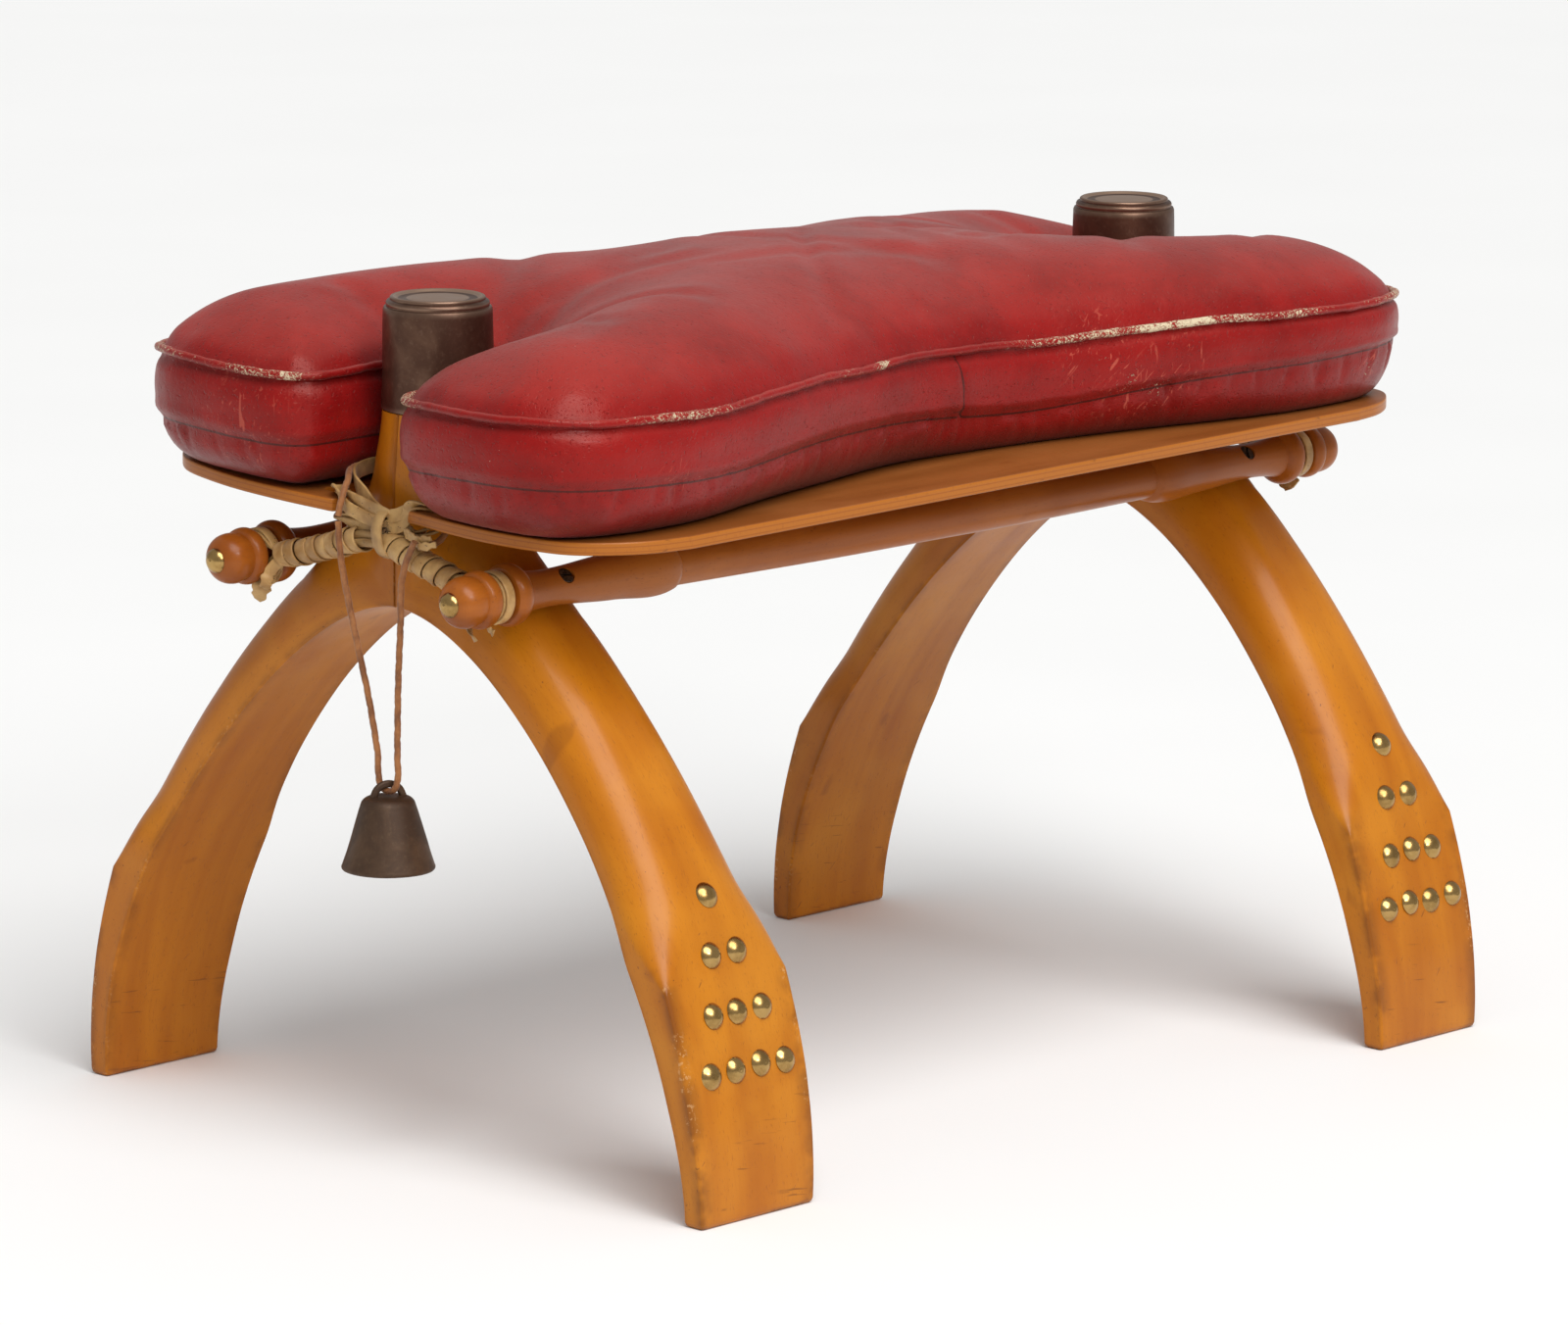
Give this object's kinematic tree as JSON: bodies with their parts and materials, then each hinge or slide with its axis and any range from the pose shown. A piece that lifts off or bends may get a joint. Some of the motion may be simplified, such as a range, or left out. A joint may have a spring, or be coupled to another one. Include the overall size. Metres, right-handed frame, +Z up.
{
  "type": "camel saddle stool",
  "caption": "Low saddle stool: beech arches with capped pommels, turned side rods, bent seat boards, rawhide lashings, a loose leather cushion and a hanging bell.",
  "frame": {"origin": "on the floor under the middle of the stool, leaving the bell and its cord out of the measure", "axes": "+X along the stool's length with the bell at the -X end, +Y across it, +Z up"},
  "size_m": [0.6522, 0.4362, 0.4208],
  "materials": {
    "beech": "honey-coloured lacquered beech with fine pores and scuffs",
    "beech_rod": "darker turned beech, lacquered",
    "plywood": "lacquered bent plywood with worn edges",
    "dowel": "plain dowel",
    "cap": "brown patinated spun metal with fine rings",
    "brass": "antique brass with dark edges",
    "steel": "darkened steel",
    "bronze": "dark bronze casting, dull and slightly rough",
    "rawhide": "pale stiff rawhide thong",
    "cord": "twisted leather cord, dry",
    "leather": "red grained leather, worn and cracked at the piping"
  },
  "bodies": {
    "frame": {"arch_front_left": "beech", "nails_front_left": "brass", "rod_screw_front_left": "steel", "finial_dome_front_left": "brass", "horn_loop_front_left": "rawhide", "neck_ring_front_left": "rawhide", "arch_front_right": "beech", "nails_front_right": "brass", "rod_screw_front_right": "steel", "finial_dome_front_right": "brass", "horn_loop_front_right": "rawhide", "neck_ring_front_right": "rawhide", "arch_dowel_front_lower": "dowel", "arch_dowel_front_upper": "dowel", "pommel_cap_front": "cap", "lashing_bundle_front": "rawhide", "lashing_tie_front": "rawhide", "arch_rear_left": "beech", "nails_rear_left": "brass", "rod_screw_rear_left": "steel", "finial_dome_rear_left": "brass", "horn_loop_rear_left": "rawhide", "neck_ring_rear_left": "rawhide", "arch_rear_right": "beech", "nails_rear_right": "brass", "rod_screw_rear_right": "steel", "finial_dome_rear_right": "brass", "horn_loop_rear_right": "rawhide", "neck_ring_rear_right": "rawhide", "arch_dowel_rear_lower": "dowel", "arch_dowel_rear_upper": "dowel", "pommel_cap_rear": "cap", "lashing_bundle_rear": "rawhide", "lashing_tie_rear": "rawhide", "side_rod_left": "beech_rod", "seat_board_left": "plywood", "side_rod_right": "beech_rod", "seat_board_right": "plywood", "bell_cord_hitch": "cord"},
    "loose_cushion": {"cushion": "leather"},
    "hanging_cord": {"bell_cord": "cord"},
    "hanging_bell": {"bell": "bronze"},
    "clapper": {"bell_clapper": "bronze"}
  },
  "joints": [
    {"name": "cushion_lift", "type": "slide", "parent": "frame", "child": "loose_cushion", "axis": [0, 0, 1], "range_m": [0, 0.14]},
    {"name": "bell_swing", "type": "hinge", "parent": "frame", "child": "hanging_cord", "pos_m": [-0.303, -0.0122, 0.3111], "axis": [0, 0.998, 0.0633], "range_deg": [-3, 40]},
    {"name": "bell_tilt", "type": "hinge", "parent": "hanging_cord", "child": "hanging_bell", "pos_m": [-0.303, -0.0195, 0.1884], "axis": [0, 1, 0], "range_deg": [-12, 12]},
    {"name": "clapper_swing", "type": "hinge", "parent": "hanging_bell", "child": "clapper", "pos_m": [-0.303, -0.0195, 0.1768], "axis": [0, 1, 0], "range_deg": [-20, 20]}
  ]
}
